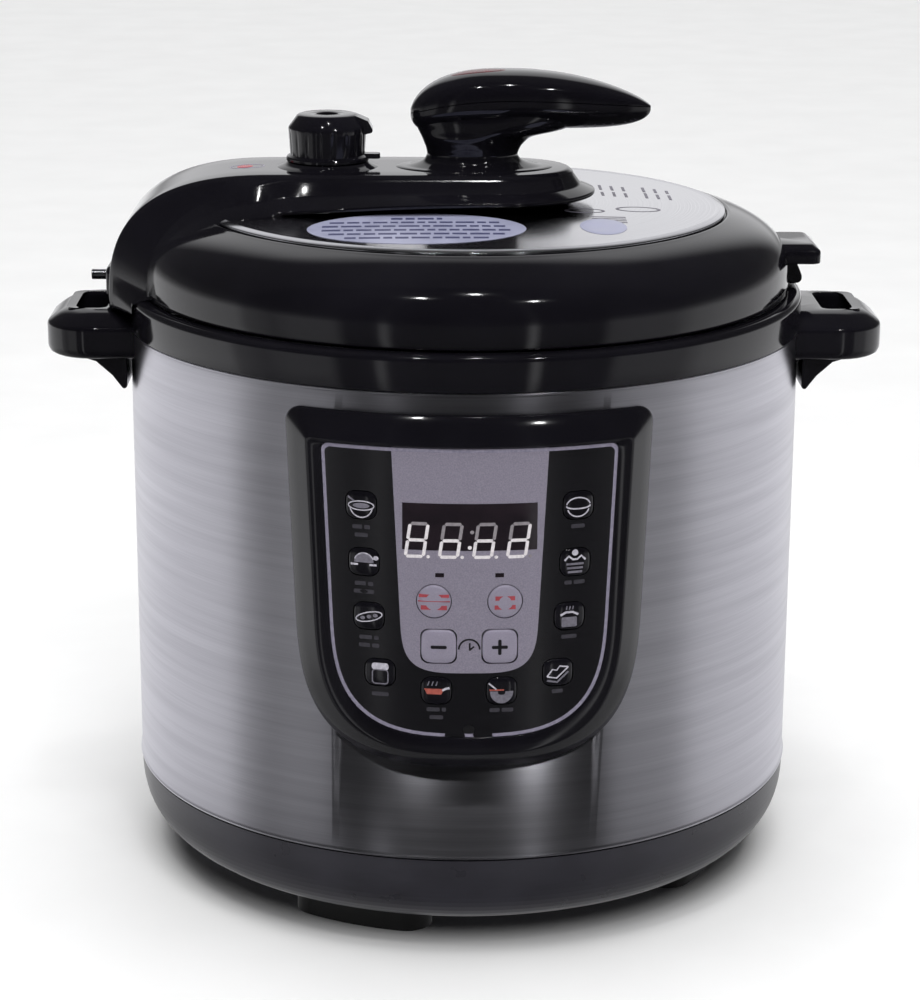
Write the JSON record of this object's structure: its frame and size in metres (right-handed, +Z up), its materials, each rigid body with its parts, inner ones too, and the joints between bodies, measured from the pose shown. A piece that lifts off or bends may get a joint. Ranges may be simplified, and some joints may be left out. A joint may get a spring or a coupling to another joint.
{
  "type": "electric pressure cooker",
  "caption": "Round free-standing electric pressure cooker with a steel body, a front key panel, a lift-out pot and a turning lid with a steam valve.",
  "frame": {"origin": "on the floor under the body's axis, which is the middle of the feet", "axes": "+Z up, the control panel faces -Y, the side handles lie along X and the lid handle's tip points to +X"},
  "size_m": [0.373, 0.3186, 0.3593],
  "materials": {
    "base_plastic": "gloss",
    "foot_rubber": "matt",
    "screw_steel": "satin",
    "brushed_sleeve": "circumferentially brushed",
    "black_gloss": "gloss",
    "pot_aluminium": "satin",
    "switch_plastic": "matt",
    "carrier_plastic": "matt",
    "overlay_film": "gloss print film",
    "smoked_window": "clear",
    "circuit_board": "lacquered",
    "brass_pins": "bright",
    "clear_plastic": "clear",
    "pot_steel": "satin",
    "silicone": "matt",
    "satin_steel": "satin",
    "label_film": "semi matt",
    "red_plastic": "gloss",
    "silver_plastic": "metallic paint"
  },
  "bodies": {
    "housing": {"base_tray": "base_plastic", "feet": "foot_rubber", "base_screws": "screw_steel", "steel_sleeve": "brushed_sleeve", "collar_ring": "black_gloss", "outer_pot": "pot_aluminium", "heating_plate": "pot_aluminium", "pressure_plate": "screw_steel", "pressure_switch": "switch_plastic", "thermal_fuse": "switch_plastic", "sensor_spring": "screw_steel", "panel_bezel": "black_gloss", "panel_carrier": "carrier_plastic", "panel_overlay": "overlay_film", "panel_screw": "carrier_plastic", "display_window": "smoked_window", "display_module": "carrier_plastic", "control_board": "circuit_board", "key_switches": "carrier_plastic", "power_board": "circuit_board", "power_inlet": "carrier_plastic", "inlet_pins": "brass_pins", "cup_bracket": "carrier_plastic"},
    "inner_pot": {"inner_pot": "pot_steel"},
    "sealing_ring": {"sealing_ring": "silicone"},
    "lid": {"lid_shell": "black_gloss", "lid_tab": "black_gloss", "lid_insert": "satin_steel", "lid_label": "label_film", "lid_bridge": "black_gloss", "lid_plate": "pot_steel", "ring_retainer": "screw_steel", "lid_screws": "screw_steel", "steam_shield": "screw_steel", "vent_pipe": "screw_steel", "push_rod_spring": "screw_steel", "handle_base": "black_gloss", "handle_cap": "black_gloss", "handle_mark": "red_plastic"},
    "float_valve": {"float_valve": "red_plastic", "float_seal": "silicone"},
    "valve_knob": {"valve_knob": "black_gloss"},
    "valve_needle": {"valve_needle": "screw_steel"},
    "push_rod": {"push_rod": "screw_steel"},
    "sensor_plunger": {"sensor_plunger": "pot_aluminium"},
    "condensation_cup": {"condensation_cup": "clear_plastic"},
    "soup_key": {"soup_key": "black_gloss"},
    "meat_key": {"meat_key": "black_gloss"},
    "bean_key": {"bean_key": "black_gloss"},
    "yogurt_key": {"yogurt_key": "black_gloss"},
    "saute_key": {"saute_key": "black_gloss"},
    "rice_key": {"rice_key": "black_gloss"},
    "cake_key": {"cake_key": "black_gloss"},
    "steam_key": {"steam_key": "black_gloss"},
    "bread_key": {"bread_key": "black_gloss"},
    "slow_cook_key": {"slow_cook_key": "black_gloss"},
    "cancel_key": {"cancel_key": "silver_plastic"},
    "timer_key": {"timer_key": "silver_plastic"},
    "minus_key": {"minus_key": "silver_plastic"},
    "plus_key": {"plus_key": "silver_plastic"}
  },
  "joints": [
    {"name": "pot_lift", "type": "slide", "parent": "housing", "child": "inner_pot", "axis": [0, 0, 1], "range_m": [0, 0.18]},
    {"name": "lid_lift", "type": "slide", "parent": "inner_pot", "child": "sealing_ring", "axis": [0, 0, 1], "range_m": [0, 0.25]},
    {"name": "lid_turn", "type": "hinge", "parent": "sealing_ring", "child": "lid", "pos_m": [0, 0, 0.2], "axis": [0, 0, 1], "range_deg": [-30, 0]},
    {"name": "valve_turn", "type": "hinge", "parent": "lid", "child": "valve_knob", "pos_m": [-0.0612, 0, 0.32], "axis": [0, 0, 1], "range_deg": [0, 40]},
    {"name": "needle_lift", "type": "slide", "parent": "lid", "child": "valve_needle", "axis": [0, 0, 1], "range_m": [0, 0.0015]},
    {"name": "float_rise", "type": "slide", "parent": "lid", "child": "float_valve", "axis": [0, 0, 1], "range_m": [0, 0.004]},
    {"name": "push_rod_press", "type": "slide", "parent": "lid", "child": "push_rod", "axis": [1, 0, 0], "range_m": [0, 0.004], "stiffness_N_per_m": 300, "springref_m": -0.004, "deforming": ["push_rod_spring"]},
    {"name": "sensor_press", "type": "slide", "parent": "housing", "child": "sensor_plunger", "axis": [0, 0, -1], "range_m": [0, 0.002], "stiffness_N_per_m": 400, "springref_m": -0.004, "deforming": ["sensor_spring"]},
    {"name": "cup_pull", "type": "slide", "parent": "housing", "child": "condensation_cup", "axis": [0, 1, 0], "range_m": [0, 0.04]},
    {"name": "soup_key_press", "type": "slide", "parent": "housing", "child": "soup_key", "axis": [0, 1, 0], "range_m": [0, 0.0006], "stiffness_N_per_m": 300, "springref_m": -0.0003},
    {"name": "meat_key_press", "type": "slide", "parent": "housing", "child": "meat_key", "axis": [0, 1, 0], "range_m": [0, 0.0006], "stiffness_N_per_m": 300, "springref_m": -0.0003},
    {"name": "bean_key_press", "type": "slide", "parent": "housing", "child": "bean_key", "axis": [0, 1, 0], "range_m": [0, 0.0006], "stiffness_N_per_m": 300, "springref_m": -0.0003},
    {"name": "yogurt_key_press", "type": "slide", "parent": "housing", "child": "yogurt_key", "axis": [0, 1, 0], "range_m": [0, 0.0006], "stiffness_N_per_m": 300, "springref_m": -0.0003},
    {"name": "saute_key_press", "type": "slide", "parent": "housing", "child": "saute_key", "axis": [0, 1, 0], "range_m": [0, 0.0006], "stiffness_N_per_m": 300, "springref_m": -0.0003},
    {"name": "rice_key_press", "type": "slide", "parent": "housing", "child": "rice_key", "axis": [0, 1, 0], "range_m": [0, 0.0006], "stiffness_N_per_m": 300, "springref_m": -0.0003},
    {"name": "cake_key_press", "type": "slide", "parent": "housing", "child": "cake_key", "axis": [0, 1, 0], "range_m": [0, 0.0006], "stiffness_N_per_m": 300, "springref_m": -0.0003},
    {"name": "steam_key_press", "type": "slide", "parent": "housing", "child": "steam_key", "axis": [0, 1, 0], "range_m": [0, 0.0006], "stiffness_N_per_m": 300, "springref_m": -0.0003},
    {"name": "bread_key_press", "type": "slide", "parent": "housing", "child": "bread_key", "axis": [0, 1, 0], "range_m": [0, 0.0006], "stiffness_N_per_m": 300, "springref_m": -0.0003},
    {"name": "slow_cook_key_press", "type": "slide", "parent": "housing", "child": "slow_cook_key", "axis": [0, 1, 0], "range_m": [0, 0.0006], "stiffness_N_per_m": 300, "springref_m": -0.0003},
    {"name": "cancel_key_press", "type": "slide", "parent": "housing", "child": "cancel_key", "axis": [0, 1, 0], "range_m": [0, 0.0006], "stiffness_N_per_m": 300, "springref_m": -0.0003},
    {"name": "timer_key_press", "type": "slide", "parent": "housing", "child": "timer_key", "axis": [0, 1, 0], "range_m": [0, 0.0006], "stiffness_N_per_m": 300, "springref_m": -0.0003},
    {"name": "minus_key_press", "type": "slide", "parent": "housing", "child": "minus_key", "axis": [0, 1, 0], "range_m": [0, 0.0006], "stiffness_N_per_m": 300, "springref_m": -0.0003},
    {"name": "plus_key_press", "type": "slide", "parent": "housing", "child": "plus_key", "axis": [0, 1, 0], "range_m": [0, 0.0006], "stiffness_N_per_m": 300, "springref_m": -0.0003}
  ],
  "couplings": [
    {"joint": "needle_lift", "follows": "valve_turn", "m_per_rad": 0.0021}
  ]
}
